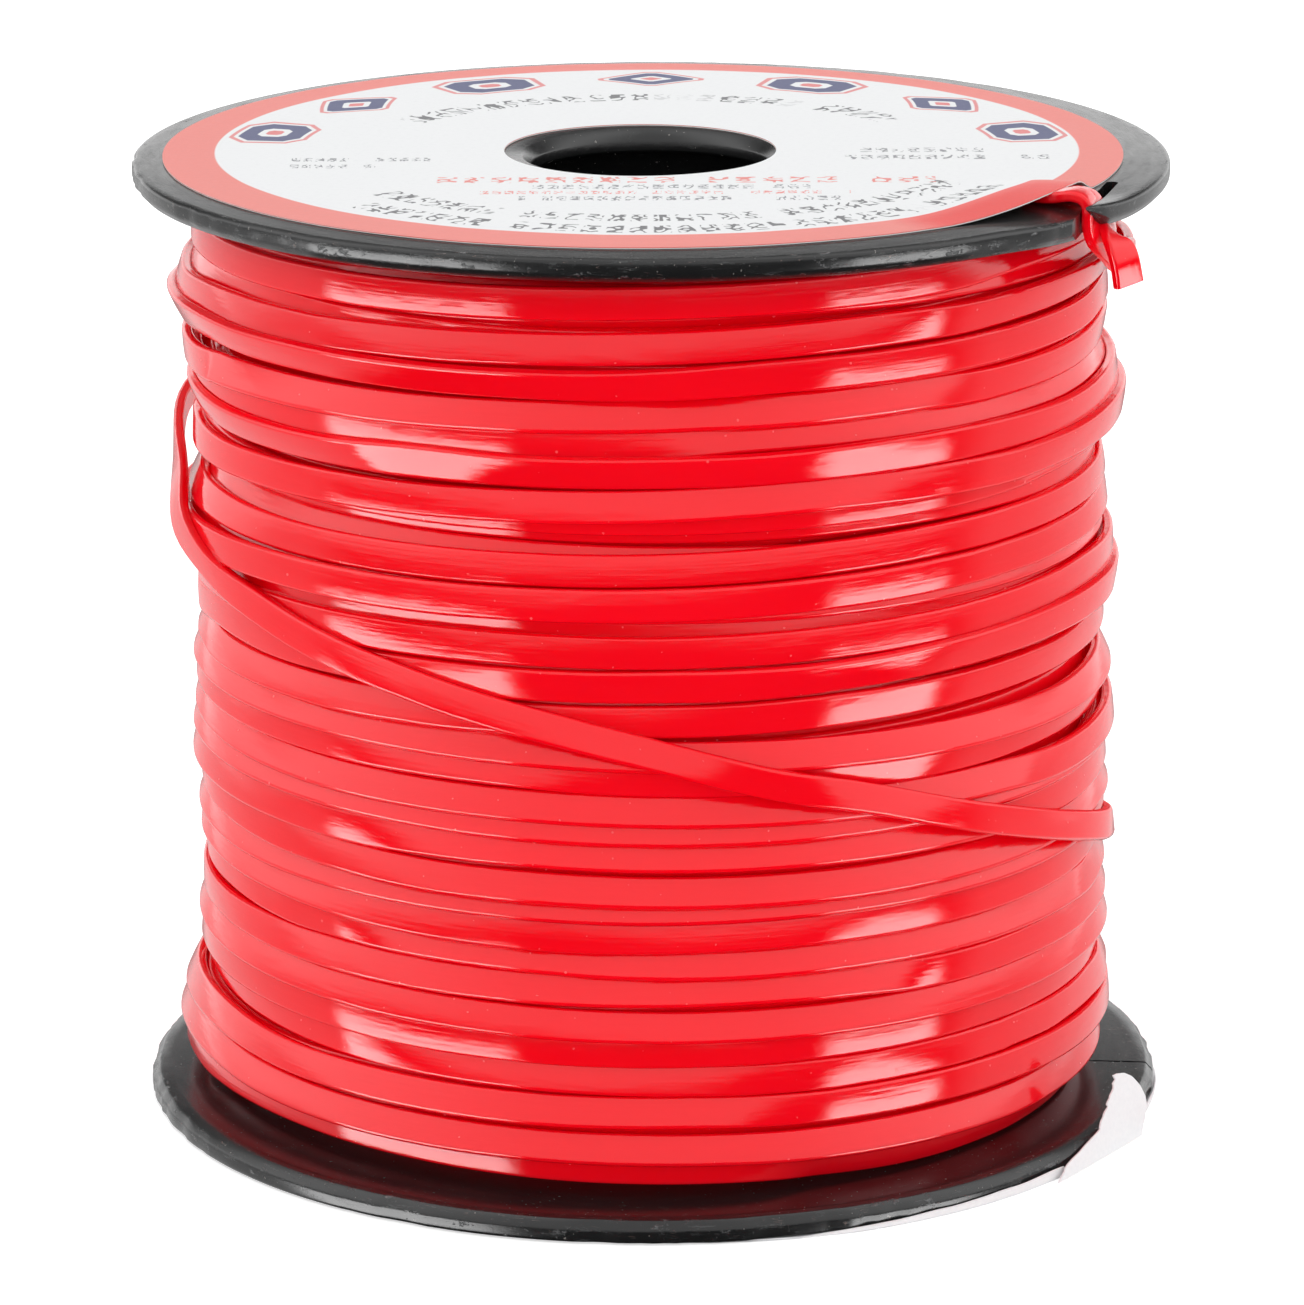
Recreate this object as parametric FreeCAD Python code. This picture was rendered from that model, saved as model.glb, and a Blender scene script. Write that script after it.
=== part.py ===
"""Reel of flat plastic craft lace.

Two moulded flanges plug into a core tube. About 91 m of flat lace is wound between them. The lace's
outer end crosses the winding, rises through a slit in the top flange, loops over the flange under
the paper label and hangs back down outside the winding.

Frame, in millimetres: +Z runs up the reel's axis, the origin is on the axis at the resting face
(underside of the bottom label), and -Y is the front. An azimuth is measured from the front (-Y)
towards the right (+X).
"""
import FreeCAD
import Part
import math
import os

from FreeCAD import Vector

# Driving dimensions: the spool
SPOOL_HEIGHT = 72.8        # outer face to outer face of the two flanges
FLANGE_RADIUS = 39.0
FLANGE_THICKNESS = 1.7
FLANGE_INNER_BEVEL = 0.6   # on the side that faces the lace
FLANGE_OUTER_ROUND = 0.25  # on the side that carries the label
BORE_RADIUS = 9.0          # a spindle passes through both flanges
BORE_CHAMFER = 0.8
CORE_INNER_RADIUS = 14.0
CORE_WALL = 2.0
SPIGOT_LENGTH = 6.0        # how far each flange plugs into the core tube
SPIGOT_WALL = 1.5
SPIGOT_CLEARANCE = 0.05
CRUSH_RIB_COUNT = 6
CRUSH_RIB_RADIUS = 0.35

# Driving dimensions: the lace
LACE_WIDTH = 2.4
LACE_THICKNESS = 0.8
LACE_PITCH = 2.5
WINDING_RADIUS = 33.4      # inner layers, under the two modelled outer layers
LAYER_GAP = 0.1
SIDE_GAP = 0.1             # between the winding and each flange

# Driving dimensions: the paper labels
PAPER = 0.12
LABEL_RADIUS = 36.15
TOP_LABEL_CENTRE = Vector(-0.6, 1.0, 0)
TOP_LABEL_HOLE_RADIUS = 10.25
TOP_LABEL_HOLE_CENTRE = Vector(-0.8, 0.8, 0)
BOTTOM_LABEL_CENTRE = Vector(3.0, -2.0, 0)
BOTTOM_LABEL_HOLE_RADIUS = 12.7

# Top flange's lace slit: a straight slash that starts at the rim and runs almost along it
SLIT_WIDTH = 0.9
SLIT_POINT = Vector(31.35, -21.9, 0)   # on the slit's centre line, near its mouth
SLIT_TILT = 14.2                       # the slit's direction, in degrees from +Y towards +X
SLIT_END = 11.0                        # from SLIT_POINT to the slit's closed end
TONGUE_TIP = 0.2                       # the tongue beside the slit is blunt up to here
LOOP_DOWN = 1.4                        # along the slit from SLIT_POINT: where the lace goes down
LOOP_UP = 4.7                          # and where it comes up

# Bottom flange's slit: a radial hairline
HAIR_SLIT_AZIMUTH = 85.0
HAIR_SLIT_WIDTH = 0.3
HAIR_SLIT_DEPTH = 5.0

# Lifted part of the top label, over the lace loop
FLAP_AZIMUTH = 58.0
FLAP_FOLD = 28.5           # fold line's distance from the axis
FLAP_LIFT = 13.0           # degrees

# Torn flap of the bottom label, folded up round the rim
TEAR_AZIMUTH = 57.0
TEAR_FOLD = 39.5           # fold line's distance from the axis
TEAR_LEAN = 10.0           # degrees from upright, towards the axis
TEAR_OUTLINE = ((-5.5, 0.1), (-3.6, 1.1), (-1.5, 1.4), (1.2, 2.2), (2.8, 3.7), (3.9, 5.1), (4.3, 5.7),
                (5.2, 5.5), (6.1, 5.0), (7.7, 3.0), (8.0, 2.0), (7.9, 1.0), (7.3, 0.1))  # along and up from the fold

# Last turn of lace: (azimuth, height of its middle) from the slit, round the back, over the front
LAST_TURN = ((68, 69.6), (90, 69.1), (120, 67.2), (180, 62.0), (250, 54.5), (270, 50.5), (285, 46.8),
             (300, 43.8), (315, 41.8), (330, 40.0), (360, 36.0), (390, 31.0), (420, 25.2),
             (450, 20.4), (480, 17.6), (505, 17.0), (530, 19.0), (560, 24.0))
LAST_TURN_RADIUS = 35.95   # middle of its thickness
LAST_TURN_START_RADIUS = 36.3
LAST_TURN_STEPS = 48

# Free end of the lace
TAIL_END = Vector(34.8, -20.4, 66.9)
TAIL_GAP = 0.4             # below the flange, where the tail bends
TAIL_TWIST = 32.0          # degrees from the slit's direction to the cut end's

# Lace anchor in the core
ANCHOR_AZIMUTH = 150.0
ANCHOR_HEIGHT = 14.0
ANCHOR_TAB_ANGLE = 40.0
WINDOW_CLEARANCE = 0.2

# Levels and radii that follow
BOTTOM_FACE = PAPER                                  # bottom flange's outer face
TOP_FACE = BOTTOM_FACE + SPOOL_HEIGHT                # top flange's outer face
WINDING_LOW = BOTTOM_FACE + FLANGE_THICKNESS
WINDING_HIGH = TOP_FACE - FLANGE_THICKNESS
CORE_RADIUS = CORE_INNER_RADIUS + CORE_WALL
Z = Vector(0, 0, 1)
OVERRUN = 5.0                                        # how far a cutting tool passes its target

slit_direction = Vector(math.sin(math.radians(SLIT_TILT)), math.cos(math.radians(SLIT_TILT)), 0)
slit_inward = Vector(-slit_direction.y, slit_direction.x, 0)


def outward(azimuth):
    """Unit vector from the axis towards an azimuth in degrees."""
    angle = math.radians(azimuth)
    return Vector(math.sin(angle), -math.cos(angle), 0)


def along(azimuth):
    """Unit vector of increasing azimuth."""
    angle = math.radians(azimuth)
    return Vector(math.cos(angle), math.sin(angle), 0)


def ring(inner, outer, low, high, centre=Vector(0, 0, 0)):
    base = centre + Z * low
    height = high - low
    return Part.makeCylinder(outer, height, base).cut(Part.makeCylinder(inner, height, base))


def block(centre, half_x, x_direction, half_y, low, high):
    """Upright box: half_x each way along x_direction, half_y each way across it."""
    y_direction = Z.cross(x_direction)
    corners = [centre + x_direction * (a * half_x) + y_direction * (b * half_y)
               for a, b in ((-1, -1), (1, -1), (1, 1), (-1, 1))]
    corners = [Vector(c.x, c.y, low) for c in corners]
    face = Part.Face(Part.makePolygon(corners + corners[:1]))
    return face.extrude(Z * (high - low))


def flange():
    """A flange with its outer face at z = 0 and its spigot pointing up."""
    rim_round = FLANGE_OUTER_ROUND
    spigot_outer = CORE_INNER_RADIUS - SPIGOT_CLEARANCE
    spigot_inner = spigot_outer - SPIGOT_WALL
    spigot_top = FLANGE_THICKNESS + SPIGOT_LENGTH
    lead_in = 0.4
    diagonal = rim_round * (1 - math.sqrt(0.5))
    rim_arc = Part.Arc(
        Vector(FLANGE_RADIUS - rim_round, 0, 0),
        Vector(FLANGE_RADIUS - diagonal, 0, diagonal),
        Vector(FLANGE_RADIUS, 0, rim_round),
    ).toShape()
    rest = [
        (FLANGE_RADIUS, rim_round),
        (FLANGE_RADIUS, FLANGE_THICKNESS - FLANGE_INNER_BEVEL),
        (FLANGE_RADIUS - FLANGE_INNER_BEVEL, FLANGE_THICKNESS),
        (spigot_outer, FLANGE_THICKNESS),
        (spigot_outer, spigot_top - lead_in),
        (spigot_outer - lead_in, spigot_top),
        (spigot_inner, spigot_top),
        (spigot_inner, FLANGE_THICKNESS),
        (BORE_RADIUS, FLANGE_THICKNESS),
        (BORE_RADIUS, BORE_CHAMFER),
        (BORE_RADIUS + BORE_CHAMFER, 0),
        (FLANGE_RADIUS - rim_round, 0),
    ]
    rest = Part.makePolygon([Vector(r, 0, z) for r, z in rest])
    profile = Part.Face(Part.Wire([rim_arc] + rest.Edges))
    solid = profile.revolve(Vector(0, 0, 0), Z, 360)
    for i in range(CRUSH_RIB_COUNT):
        where = outward(360.0 * i / CRUSH_RIB_COUNT) * (CORE_INNER_RADIUS - CRUSH_RIB_RADIUS)
        rib_height = SPIGOT_LENGTH - 2 * lead_in
        rib = Part.makeCylinder(CRUSH_RIB_RADIUS, rib_height, where + Z * FLANGE_THICKNESS)
        solid = solid.fuse(rib)
    return solid.removeSplitter()


def slit_cutter():
    """The slash through the top flange, with a round closed end, and the cut that blunts the tongue."""
    low, high = WINDING_HIGH - 1, TOP_FACE + 1
    start = SLIT_POINT - slit_direction * OVERRUN
    end = SLIT_POINT + slit_direction * (SLIT_END - SLIT_WIDTH / 2)
    half_length = (end - start).Length / 2
    cutter = block((start + end) * 0.5, half_length, slit_direction, SLIT_WIDTH / 2, low, high)
    round_end = Part.makeCylinder(SLIT_WIDTH / 2, high - low, Vector(end.x, end.y, low))
    tip = SLIT_POINT + slit_direction * (TONGUE_TIP - OVERRUN / 2) - slit_inward * (OVERRUN / 2)
    blunt = block(tip, OVERRUN / 2, slit_direction, OVERRUN / 2, low, high)
    return cutter.fuse([round_end, blunt])


def top_flange():
    solid = flange()
    solid.rotate(Vector(0, 0, 0), Vector(1, 0, 0), 180)
    solid.translate(Z * TOP_FACE)
    return solid.cut(slit_cutter())


def bottom_flange():
    solid = flange()
    solid.translate(Z * BOTTOM_FACE)
    middle = outward(HAIR_SLIT_AZIMUTH) * (FLANGE_RADIUS + (OVERRUN - HAIR_SLIT_DEPTH) / 2)
    cutter = block(middle, (OVERRUN + HAIR_SLIT_DEPTH) / 2, outward(HAIR_SLIT_AZIMUTH),
                   HAIR_SLIT_WIDTH / 2, 0, WINDING_LOW + 1)
    return solid.cut(cutter)


def core_tube():
    """Plain tube between the flanges, with the window that the lace's inner end passes through."""
    tube = ring(CORE_INNER_RADIUS, CORE_RADIUS, WINDING_LOW, WINDING_HIGH)
    half_height = LACE_WIDTH / 2 + WINDOW_CLEARANCE
    window = block(outward(ANCHOR_AZIMUTH) * CORE_RADIUS, OVERRUN, outward(ANCHOR_AZIMUTH),
                   LACE_THICKNESS / 2 + WINDOW_CLEARANCE,
                   ANCHOR_HEIGHT - half_height, ANCHOR_HEIGHT + half_height)
    return tube.cut(window)


def lace_inner_end():
    """Anchored end: through the core's window, then flat against the core's inner wall."""
    low, high = ANCHOR_HEIGHT - LACE_WIDTH / 2, ANCHOR_HEIGHT + LACE_WIDTH / 2
    outer = CORE_INNER_RADIUS - LAYER_GAP
    inner = outer - LACE_THICKNESS
    tab = Part.makeCylinder(outer, high - low, Z * low, Z, ANCHOR_TAB_ANGLE)
    tab = tab.cut(Part.makeCylinder(inner, high - low, Z * low))
    tab.rotate(Vector(0, 0, 0), Z, ANCHOR_AZIMUTH - 90)
    middle = (inner + CORE_RADIUS) / 2
    leg = block(outward(ANCHOR_AZIMUTH) * middle, (CORE_RADIUS - inner) / 2,
                outward(ANCHOR_AZIMUTH), LACE_THICKNESS / 2, low, high)
    return tab.fuse(leg).removeSplitter()


def lace_inner_layers():
    return ring(CORE_RADIUS + LAYER_GAP, WINDING_RADIUS, WINDING_LOW + SIDE_GAP, WINDING_HIGH - SIDE_GAP)


def lace_section(radius, height):
    """Cross-section of the lace on the +X side, flat against a cylinder of this radius."""
    corners = [Vector(radius + a, 0, height + b) for a, b in (
        (0, -LACE_WIDTH / 2), (LACE_THICKNESS, -LACE_WIDTH / 2),
        (LACE_THICKNESS, LACE_WIDTH / 2), (0, LACE_WIDTH / 2))]
    return Part.makePolygon(corners + corners[:1])


def lace_layer(radius, left_handed):
    """One traverse of lace from flange to flange, wound on a cylinder of this radius."""
    low = WINDING_LOW + SIDE_GAP + LACE_WIDTH / 2
    travel = WINDING_HIGH - SIDE_GAP - LACE_WIDTH / 2 - low
    helix = Part.makeHelix(LACE_PITCH, travel, radius, 0, left_handed)
    helix.translate(Z * low)
    sweep = Part.BRepOffsetAPI.MakePipeShell(Part.Wire(helix.Edges))
    sweep.setBiNormalMode(Z)
    sweep.add(lace_section(radius, low), False, False)
    sweep.build()
    sweep.makeSolid()
    return Part.Solid(sweep.shape())


def lace_last_turn():
    """Outermost turn: from below the slit, round the back, down across the front."""
    heights = Part.BSplineCurve()
    heights.interpolate([Vector(azimuth, height, 0) for azimuth, height in LAST_TURN])
    first, last = heights.FirstParameter, heights.LastParameter
    points = []
    for i in range(LAST_TURN_STEPS + 1):
        place = heights.value(first + (last - first) * i / LAST_TURN_STEPS)
        radius = LAST_TURN_START_RADIUS if i == 0 else LAST_TURN_RADIUS
        points.append(outward(place.x) * radius + Z * place.y)
    path = Part.BSplineCurve()
    path.interpolate(points)
    start, direction = path.value(path.FirstParameter), path.tangent(path.FirstParameter)[0]
    radial = Vector(start.x, start.y, 0).normalize()
    radial = (radial - direction * radial.dot(direction)).normalize()
    across = direction.cross(radial)
    corners = [start + radial * (a * LACE_THICKNESS / 2) + across * (b * LACE_WIDTH / 2)
               for a, b in ((-1, -1), (1, -1), (1, 1), (-1, 1))]
    sweep = Part.BRepOffsetAPI.MakePipeShell(Part.Wire([path.toShape()]))
    sweep.setBiNormalMode(Z)
    sweep.add(Part.makePolygon(corners + corners[:1]), False, False)
    sweep.build()
    sweep.makeSolid()
    return Part.Solid(sweep.shape())


def lace_slot_loop():
    """Up through the slit, a flat U-turn on the flange under the label, and down through the slit."""
    half = LACE_THICKNESS / 2
    bend_inner = 0.15
    rest = TOP_FACE + LAYER_GAP                      # underside of the flat part
    bend_centre_in = half + bend_inner               # from the slit's middle, inward
    legs = []
    for place in (LOOP_DOWN, LOOP_UP):
        middle = SLIT_POINT + slit_direction * place
        leg_low = WINDING_HIGH - LAYER_GAP
        leg = block(middle, LACE_WIDTH / 2, slit_direction, half, leg_low, rest - bend_inner)
        centre = middle + slit_inward * bend_centre_in + Z * (rest - bend_inner)
        centre = centre - slit_direction * (LACE_WIDTH / 2)
        outer = Part.makeCylinder(bend_inner + LACE_THICKNESS, LACE_WIDTH, centre, slit_direction)
        inner = Part.makeCylinder(bend_inner, LACE_WIDTH, centre, slit_direction)
        keep = block(middle + slit_inward * (bend_centre_in - OVERRUN / 2), LACE_WIDTH,
                     slit_direction, OVERRUN / 2, rest - bend_inner, rest + OVERRUN)
        legs += [leg, outer.cut(inner).common(keep)]
    middle = SLIT_POINT + slit_direction * ((LOOP_DOWN + LOOP_UP) / 2) + slit_inward * bend_centre_in
    spread = (LOOP_UP - LOOP_DOWN) / 2
    turn = ring(spread - LACE_WIDTH / 2, spread + LACE_WIDTH / 2, rest, rest + LACE_THICKNESS, middle)
    far_side = block(middle + slit_inward * (OVERRUN / 2), OVERRUN, slit_direction, OVERRUN / 2,
                     rest, rest + LACE_THICKNESS)
    return legs[0].fuse(legs[1:] + [turn.common(far_side)]).removeSplitter()


def lace_tail_end():
    """Free end: hangs from the slit and twists until its flat side faces the front."""
    root = SLIT_POINT + slit_direction * LOOP_DOWN + Z * (WINDING_HIGH - TAIL_GAP - LAYER_GAP)
    steps = 4
    sections = []
    for i in range(steps + 1):
        share = i / steps
        centre = root + (TAIL_END - root) * share
        turn = math.radians(SLIT_TILT + TAIL_TWIST * share)
        wide = Vector(math.sin(turn), math.cos(turn), 0)
        thick = Z.cross(wide)
        corners = [centre + wide * (a * LACE_WIDTH / 2) + thick * (b * LACE_THICKNESS / 2)
                   for a, b in ((-1, -1), (1, -1), (1, 1), (-1, 1))]
        sections.append(Part.makePolygon(corners + corners[:1]))
    return Part.makeLoft(sections, True, True)


def label_disc(low, centre, hole_radius, hole_centre):
    disc = Part.makeCylinder(LABEL_RADIUS, PAPER, centre + Z * low)
    return disc.cut(Part.makeCylinder(hole_radius, PAPER, hole_centre + Z * low))


def beyond_fold():
    """Everything outside the top label's fold line."""
    reach = LABEL_RADIUS
    centre = outward(FLAP_AZIMUTH) * (FLAP_FOLD + reach / 2)
    return block(centre, reach / 2, outward(FLAP_AZIMUTH), reach, TOP_FACE, TOP_FACE + PAPER)


def top_label():
    disc = label_disc(TOP_FACE, TOP_LABEL_CENTRE, TOP_LABEL_HOLE_RADIUS, TOP_LABEL_HOLE_CENTRE)
    return disc.cut(beyond_fold())


def top_label_flap():
    disc = label_disc(TOP_FACE, TOP_LABEL_CENTRE, TOP_LABEL_HOLE_RADIUS, TOP_LABEL_HOLE_CENTRE)
    flap = disc.common(beyond_fold())
    hinge = outward(FLAP_AZIMUTH) * FLAP_FOLD + Z * (TOP_FACE + PAPER)
    flap.translate(outward(FLAP_AZIMUTH) * (PAPER / 2))
    flap.rotate(hinge, along(FLAP_AZIMUTH) * -1, FLAP_LIFT)
    return flap


def bottom_label():
    return label_disc(0, BOTTOM_LABEL_CENTRE, BOTTOM_LABEL_HOLE_RADIUS, BOTTOM_LABEL_CENTRE).cut(
        block(outward(TEAR_AZIMUTH) * (TEAR_FOLD + OVERRUN - 2 * PAPER), OVERRUN,
              outward(TEAR_AZIMUTH), FLANGE_RADIUS, 0, PAPER))


def bottom_label_flap():
    """Torn piece of paper that stands up outside the rim."""
    fold = outward(TEAR_AZIMUTH) * TEAR_FOLD
    up = Z * math.cos(math.radians(TEAR_LEAN)) - outward(TEAR_AZIMUTH) * math.sin(math.radians(TEAR_LEAN))
    corners = [fold + along(TEAR_AZIMUTH) * a + up * b for a, b in TEAR_OUTLINE]
    face = Part.Face(Part.makePolygon(corners + corners[:1]))
    return face.extrude(up.cross(along(TEAR_AZIMUTH)) * -PAPER)


def build():
    outer_layer_radius = WINDING_RADIUS + LAYER_GAP
    top_layer_radius = outer_layer_radius + LACE_THICKNESS + LAYER_GAP
    return {
        "top_flange": top_flange(),
        "bottom_flange": bottom_flange(),
        "core_tube": core_tube(),
        "top_label": top_label(),
        "top_label_flap": top_label_flap(),
        "bottom_label": bottom_label(),
        "bottom_label_flap": bottom_label_flap(),
        "lace_inner_end": lace_inner_end(),
        "lace_inner_layers": lace_inner_layers(),
        "lace_outer_layer": lace_layer(outer_layer_radius, False),
        "lace_top_layer": lace_layer(top_layer_radius, True),
        "lace_last_turn": lace_last_turn(),
        "lace_slot_loop": lace_slot_loop(),
        "lace_tail_end": lace_tail_end(),
    }


os.makedirs("parts", exist_ok=True)
for name, shape in build().items():
    solids = shape.Solids
    print(name, "solids", len(solids), "valid", shape.isValid(), "volume", round(shape.Volume, 2))
    shape.exportStep(os.path.join("parts", name + ".step"))
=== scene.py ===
"""Looks of the craft lace reel, built round its CAD frame. Lengths are millimetres until a mesh is made."""
import bpy
import math
import numpy as np
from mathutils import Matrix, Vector


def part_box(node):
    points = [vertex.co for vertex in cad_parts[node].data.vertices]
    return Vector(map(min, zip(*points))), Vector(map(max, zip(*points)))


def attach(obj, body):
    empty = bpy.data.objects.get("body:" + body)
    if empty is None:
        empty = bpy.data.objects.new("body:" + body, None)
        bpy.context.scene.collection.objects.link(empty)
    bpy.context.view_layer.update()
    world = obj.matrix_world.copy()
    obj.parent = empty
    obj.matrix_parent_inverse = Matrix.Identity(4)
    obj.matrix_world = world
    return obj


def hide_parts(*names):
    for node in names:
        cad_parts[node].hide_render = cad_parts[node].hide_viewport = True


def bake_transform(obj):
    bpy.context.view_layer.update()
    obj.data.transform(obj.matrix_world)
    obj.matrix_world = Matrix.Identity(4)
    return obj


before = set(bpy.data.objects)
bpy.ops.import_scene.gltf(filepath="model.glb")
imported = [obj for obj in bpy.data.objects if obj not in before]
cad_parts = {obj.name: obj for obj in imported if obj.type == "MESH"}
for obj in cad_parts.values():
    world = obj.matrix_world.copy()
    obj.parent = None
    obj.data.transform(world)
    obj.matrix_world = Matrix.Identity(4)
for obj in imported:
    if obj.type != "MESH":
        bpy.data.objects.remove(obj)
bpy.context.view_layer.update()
MM = 0.001


def level(node, end):
    """Lowest (0) or highest (1) z of a CAD node, in millimetres."""
    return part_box(node)[end].z / MM


def level_radius(node):
    """Outer radius of a turned CAD node, in millimetres."""
    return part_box(node)[1].x / MM


TOP_FACE = level("top_label", 0)
LOW = level("core_tube", 0)
HIGH = level("core_tube", 1)
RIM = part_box("top_flange")[1].x / MM

# ---------------------------------------------------------------------------
# Winding: the lace is laid turn by turn on a grid of the pack's outer radius
# ---------------------------------------------------------------------------
WIDTH, THICK = 2.4, 0.8
TURN = 576                       # samples in one turn
STEP = 2 * math.pi / TURN
DZ = 0.1
ROWS = int(round((HIGH - LOW) / DZ)) + 1
HALF = TURN // 2                 # samples laid at a time
EDGE = 48                        # samples looked at either side of those
ACROSS = np.linspace(-WIDTH / 2, WIDTH / 2, 13)
SLIP = 0.12                      # how far a strip slides off a slope
SINK = 0.3                       # how far it presses into what is under it
BASE_RADIUS = 30.5               # of the buried winding
MEAN_RADIUS = 35.0               # of the strands laid one by one
rng = np.random.default_rng(11)

MARGIN = 1.3                     # the traverse guide turns back this far from a flange
CLOSEST = 1.26                   # a strand that slides stops with its middle this far from a flange
# each traverse: the height it runs to and its pitch per turn
TRAVERSES = ((HIGH - MARGIN, 2.4), (LOW + MARGIN, 2.35), (HIGH - MARGIN, 2.15), (37.0, 3.1))
# how far the strands of each traverse, and the last strand, are pressed over to face upwards
LEAN = (0.0, 0.0, -0.13, -0.15, -0.25)
# last strand: azimuth and height, from where it leaves the winding to just below the slit
LAST = ((610, 35.5), (590, 31.5), (560, 24.0), (530, 19.0), (505, 17.0), (480, 17.6), (450, 20.4),
        (420, 25.2), (390, 31.0), (360, 36.0), (330, 40.0), (315, 41.8), (300, 43.8), (285, 46.8),
        (270, 50.5), (250, 54.5), (180, 62.0), (120, 64.8), (90, 66.2), (76, 66.7))
# places where the pack stands proud: azimuth, height, by how much
BULGES = ((-95, 63.5, 1.2), (-98, 5.5, 2.6), (88, 9.0, 1.3), (92, 57.0, 0.3), (100, 68.0, 0.5))


def smooth_noise(count, spacing, generator):
    """Smooth random curve of unit size whose features are about `spacing` samples long."""
    knots = generator.normal(size=int(count / spacing) + 6)
    x = np.arange(count) / spacing + 1
    i = x.astype(int)
    f = x - i
    p0, p1, p2, p3 = knots[i - 1], knots[i], knots[i + 1], knots[i + 2]
    return ((-f ** 3 + 3 * f ** 2 - 3 * f + 1) * p0 + (3 * f ** 3 - 6 * f ** 2 + 4) * p1
            + (-3 * f ** 3 + 3 * f ** 2 + 3 * f + 1) * p2 + f ** 3 * p3) / 4.2


def smoothstep(low, high, value):
    t = np.clip((value - low) / (high - low), 0, 1)
    return t * t * (3 - 2 * t)


def blur(values, sigma):
    """Gaussian blur along a curve, its width given in samples."""
    reach = int(3 * sigma) + 1
    kernel = np.exp(-0.5 * (np.arange(-reach, reach + 1) / sigma) ** 2)
    return np.convolve(np.pad(values, reach, mode="edge"), kernel / kernel.sum(), mode="valid")


def taut(radius):
    """A tight strand spans hollows: it never curves inwards more than a straight line does."""
    reach = 26
    sag = MEAN_RADIUS / 2 * (np.arange(-reach, reach + 1) * STEP) ** 2
    n = len(radius)
    padded = np.pad(radius, reach, mode="edge")
    high = np.max([padded[k:k + n] - sag[k] for k in range(2 * reach + 1)], axis=0)
    padded = np.pad(high, reach, mode="edge")
    return np.min([padded[k:k + n] + sag[k] for k in range(2 * reach + 1)], axis=0)


def profile(pack, columns, z):
    """Pack radius under the lace, across its width."""
    place = (z[:, None] + ACROSS[None, :] - LOW) / DZ
    k = np.clip(place.astype(int), 0, ROWS - 2)
    f = np.clip(place - k, 0, 1)
    rows = columns[:, None]
    return pack[rows, k] * (1 - f) + pack[rows, k + 1] * f


def settle(under):
    """Radius and slope of a stiff strip on what is under it: the highest chord that spans its middle."""
    middle = len(ACROSS) // 2
    gap = ACROSS[1] - ACROSS[0]
    best, slope = under[:, middle].copy(), np.zeros(len(under))
    for a in range(1, middle + 1):
        for b in range(1, middle + 1):
            lower, upper = under[:, middle - a], under[:, middle + b]
            value = (lower * b + upper * a) / (a + b)
            better = value > best + 1e-6
            best = np.where(better, value, best)
            slope = np.where(better, (upper - lower) / ((a + b) * gap), slope)
    return best, slope


def lay(pack, guide, lean, origin, free):
    """Winds lace whose traverse guide is at heights `guide`; returns height, radius and slope per sample.
    Samples before `free` may slide; later ones keep to the guide."""
    count = (len(guide) - EDGE) // HALF * HALF
    z_all = guide.copy()
    under_all = np.zeros((len(guide), len(ACROSS)))
    radius_all, slope_all = np.zeros(len(guide)), np.zeros(len(guide))
    for start in range(0, count, HALF):
        window = np.arange(max(0, start - EDGE), start + HALF + EDGE)
        columns = (origin - window) % TURN
        fresh = window >= start
        slides = fresh & (window < free)
        z = z_all[window].copy()
        under = under_all[window].copy()
        for _ in range(3):
            under[fresh] = profile(pack, columns[fresh], z[fresh])
            slope = blur(settle(under)[1], 8)
            slip = blur(np.clip(slope, -0.6, 0.6), 10) * SLIP
            z[slides] = np.clip(z[slides] - slip[slides], LOW + CLOSEST, HIGH - CLOSEST)
        under[fresh] = profile(pack, columns[fresh], z[fresh])
        slope = np.clip(blur(settle(under)[1], 8) + lean[window], -0.5, 0.5)
        gap = under - slope[:, None] * ACROSS[None, :]
        radius = gap.max(axis=1) * (1 - SINK) + gap.mean(axis=1) * SINK
        radius = blur(taut(radius), 3)
        keep = fresh & (window < start + HALF)
        kept = window[keep]
        z_all[kept], under_all[kept] = z[keep], under[keep]
        radius_all[kept], slope_all[kept] = radius[keep], slope[keep]
        columns = columns[keep]
        base = np.round((z[keep] - LOW) / DZ).astype(int)
        for offset in range(-12, 13):
            row = base + offset
            across = row * DZ + LOW - z[keep]
            rounding = 0.35 * np.clip(np.abs(across) - 0.95, 0, 0.3)
            surface = radius[keep] + slope[keep] * across + THICK - rounding
            inside = (np.abs(across) <= WIDTH / 2) & (row >= 0) & (row < ROWS)
            c, r = columns[inside], row[inside]
            pack[c, r] = np.maximum(pack[c, r], surface[inside])
    return z_all[:count], radius_all[:count], slope_all[:count]


def guide_path():
    """Heights of the traverse guide, the sample where each traverse ends, and the sample at azimuth 0."""
    low, high = LOW + MARGIN, HIGH - MARGIN
    parts, ends, z = [], [], low
    for target, pitch in TRAVERSES:
        count = int(abs(target - z) / pitch * TURN)
        parts.append(np.linspace(z, target, count, endpoint=False))
        z = target
        ends.append(sum(len(p) for p in parts))
    wound = np.concatenate(parts)
    n = len(wound)
    wander = 0.12 * smooth_noise(n, 75, rng)
    wander += 0.42 * smooth_noise(n, 230, rng)
    wander += 0.4 * smooth_noise(n, 900, rng)
    wander *= np.clip((n - np.arange(n)) / 300.0, 0, 1)
    wound = low + np.abs(wound + wander - low)
    wound = high - np.abs(high - wound)
    azimuths = np.array([a for a, _ in LAST])[::-1]
    heights = np.array([h for _, h in LAST])[::-1]
    last = np.interp(np.arange(azimuths[-1], azimuths[0], -360.0 / TURN), azimuths, heights)
    origin = n + int(round(azimuths[-1] / 360.0 * TURN))
    path = np.concatenate([wound, last])
    around = slice(n - 120, len(path))
    path[around] = blur(path, 14)[around]
    ends.append(len(path))
    spare = HALF - (len(path) - EDGE) % HALF + EDGE
    return np.concatenate([path, np.full(spare, path[-1])]), ends, origin


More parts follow.
